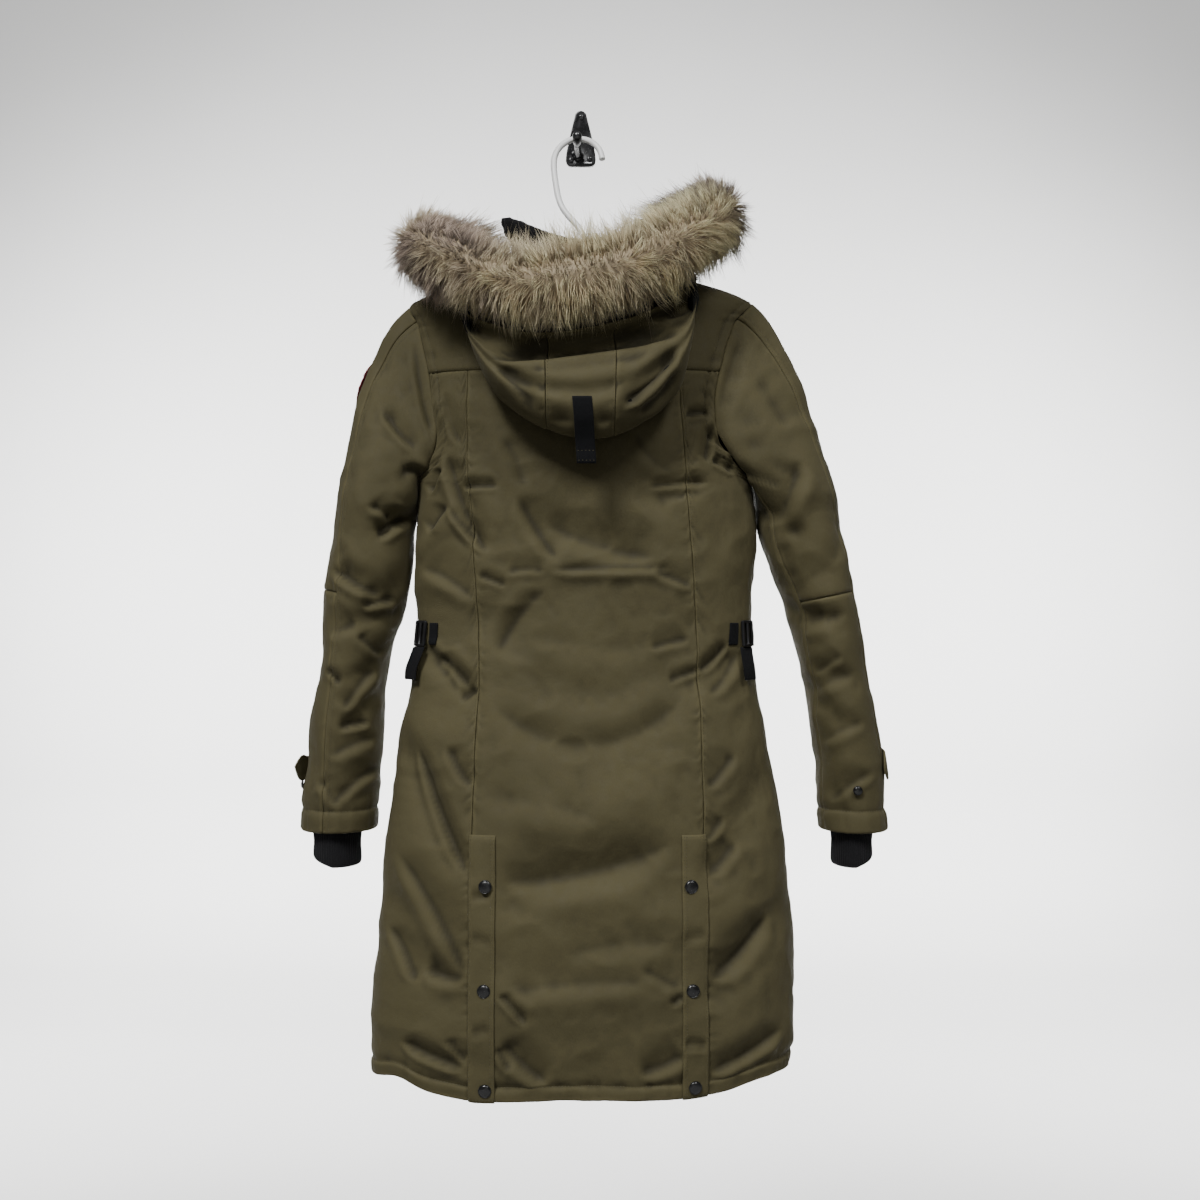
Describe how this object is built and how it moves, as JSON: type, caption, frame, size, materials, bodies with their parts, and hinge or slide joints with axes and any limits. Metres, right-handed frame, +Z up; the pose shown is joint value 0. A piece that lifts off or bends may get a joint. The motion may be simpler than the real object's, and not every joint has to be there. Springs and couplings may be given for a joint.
{
  "type": "fur trimmed parka on a hanger and wall hook",
  "caption": "Long fitted padded parka in olive twill, its hood with a deep fur ruff lying back, hung on a white hanger from a black wall hook.",
  "frame": {"origin": "middle of the back face of the wall hook's plate, on the wall", "axes": "+Z up; +Y into the wall and square to it; +X to the wearer's right. The coat's back faces -Y, away from the wall."},
  "size_m": [0.724, 0.303, 1.2038],
  "materials": {
    "olive_twill": "matt woven shell cloth over padding",
    "black_rib": "ribbed knit",
    "black_fleece": "soft fleece",
    "coyote_fur": "long soft fur, pale under grey-brown tips",
    "black_webbing": "woven webbing",
    "black_plastic": "moulded, slightly glossy",
    "black_snap": "black enamelled press studs",
    "red_badge": "plain stitched badge",
    "white_plastic": "smooth white",
    "black_hook": "glossy black enamel"
  },
  "bodies": {
    "root": {"back_center": "olive_twill", "back_side_left": "olive_twill", "back_side_right": "olive_twill", "back_yoke": "olive_twill", "collar": "olive_twill", "collar_lining": "black_fleece", "cuff_snap_left": "black_snap", "cuff_snap_right": "black_snap", "cuff_tab_left": "olive_twill", "cuff_tab_right": "olive_twill", "front_left": "olive_twill", "front_right": "olive_twill", "front_snap_1": "black_snap", "front_snap_2": "black_snap", "front_snap_3": "black_snap", "front_snap_4": "black_snap", "front_snap_5": "black_snap", "fur_ruff": "coyote_fur", "hanger_frame": "white_plastic", "hanger_hook": "white_plastic", "hood_center": "olive_twill", "hood_left": "olive_twill", "hood_right": "olive_twill", "hood_strap": "black_webbing", "hook_arm": "black_hook", "hook_plate": "black_hook", "hook_screw_1": "black_hook", "hook_screw_2": "black_hook", "hook_screw_3": "black_hook", "rib_cuff_left": "black_rib", "rib_cuff_right": "black_rib", "sleeve_badge": "red_badge", "sleeve_left_elbow_lower": "olive_twill", "sleeve_left_elbow_upper": "olive_twill", "sleeve_left_main": "olive_twill", "sleeve_right_elbow_lower": "olive_twill", "sleeve_right_elbow_upper": "olive_twill", "sleeve_right_main": "olive_twill", "storm_flap": "olive_twill", "vent_flap_left": "olive_twill", "vent_flap_right": "olive_twill", "vent_snap_left_1": "black_snap", "vent_snap_left_2": "black_snap", "vent_snap_left_3": "black_snap", "vent_snap_right_1": "black_snap", "vent_snap_right_2": "black_snap", "vent_snap_right_3": "black_snap", "waist_anchor_left": "black_webbing", "waist_anchor_right": "black_webbing", "waist_buckle_left": "black_plastic", "waist_buckle_right": "black_plastic", "waist_strap_left": "black_webbing", "waist_strap_right": "black_webbing", "waist_tail_left": "black_webbing", "waist_tail_right": "black_webbing"}
  },
  "joints": []
}
